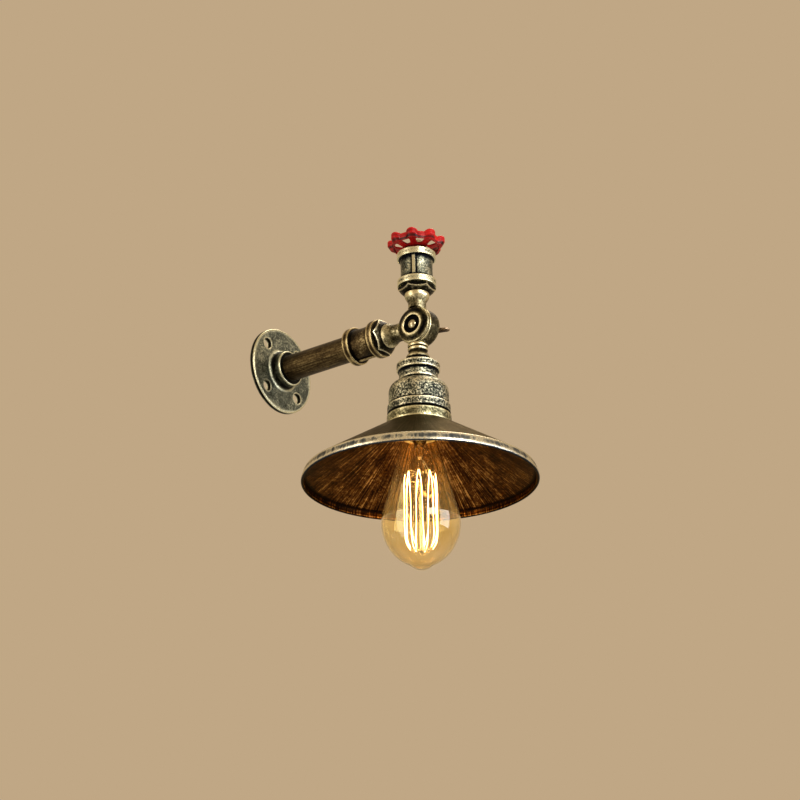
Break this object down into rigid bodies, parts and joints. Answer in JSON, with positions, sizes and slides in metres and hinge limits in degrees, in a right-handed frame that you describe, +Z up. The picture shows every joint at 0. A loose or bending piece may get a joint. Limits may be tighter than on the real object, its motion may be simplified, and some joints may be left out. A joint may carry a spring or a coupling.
{
  "type": "wall lamp",
  "caption": "Wall lamp of pipe fittings: round wall flange, pipe arm, tilting knuckle with wing nut, valve-wheel switch, bell cup, cone shade and cage-filament bulb.",
  "frame": {"origin": "centre of the wall flange's back face, on the wall's plane", "axes": "+Y into the wall, +Z up, +X to the right of someone who faces the wall"},
  "size_m": [0.1928, 0.2484, 0.2926],
  "materials": {
    "cast_bronze": "antique bronze plating rubbed back on the edges",
    "dark_fittings": "dark antique bronze",
    "pipe": "brown bronze, brushed lengthwise",
    "spun_sheet": "antique bronze, brushed",
    "red_enamel": "glossy red enamel",
    "steel": "bright",
    "brass": "satin",
    "rubber": "matte black",
    "moulding": "dark moulding",
    "porcelain": "glazed white",
    "amber_glass": "amber, clear",
    "clear_glass": "clear",
    "filament": "lit tungsten"
  },
  "bodies": {
    "arm": {"wall_flange": "cast_bronze", "arm_pipe": "pipe", "cable_grommet": "rubber", "arm_cable": "rubber", "arm_coupling": "cast_bronze", "arm_bushing": "dark_fittings", "knuckle_arm_half": "cast_bronze", "friction_washer": "rubber", "pivot_bolt": "steel", "wing_washer": "steel"},
    "head": {"knuckle_head_half": "cast_bronze", "top_bushing": "dark_fittings", "top_coupling": "cast_bronze", "top_plug": "dark_fittings", "switch_body": "moulding", "switch_nut": "brass", "switch_lead": "rubber", "lower_nipple": "brass", "reducer_cup": "cast_bronze", "cup_lock_nut": "steel", "cup_collar": "cast_bronze", "holder_body": "porcelain", "screw_shell": "brass", "centre_contact": "brass", "terminal_screws": "brass", "holder_lead": "rubber", "shade": "spun_sheet", "shade_ring_nut": "moulding"},
    "wheel": {"handwheel": "red_enamel", "switch_spindle": "steel", "wheel_nut": "brass"},
    "wing": {"wing_nut": "dark_fittings"},
    "bulb": {"bulb_cap": "brass", "bulb_insulator": "moulding", "bulb_contact": "steel", "bulb_glass": "amber_glass", "bulb_stem": "clear_glass", "bulb_leads": "steel", "filament_hooks": "steel", "filament": "filament"}
  },
  "joints": [
    {"name": "head_tilt", "type": "hinge", "parent": "arm", "child": "head", "pos_m": [0, -0.152, 0], "axis": [1, 0, 0], "range_deg": [-30, 25]},
    {"name": "handwheel_turn", "type": "hinge", "parent": "head", "child": "wheel", "pos_m": [0, -0.152, 0], "axis": [0, 0, 1], "continuous": true},
    {"name": "bulb_turn", "type": "hinge", "parent": "head", "child": "bulb", "pos_m": [0, -0.152, 0], "axis": [0, 0, 1], "continuous": true},
    {"name": "wing_nut_turn", "type": "hinge", "parent": "arm", "child": "wing", "pos_m": [0, -0.152, 0], "axis": [1, 0, 0], "continuous": true}
  ]
}
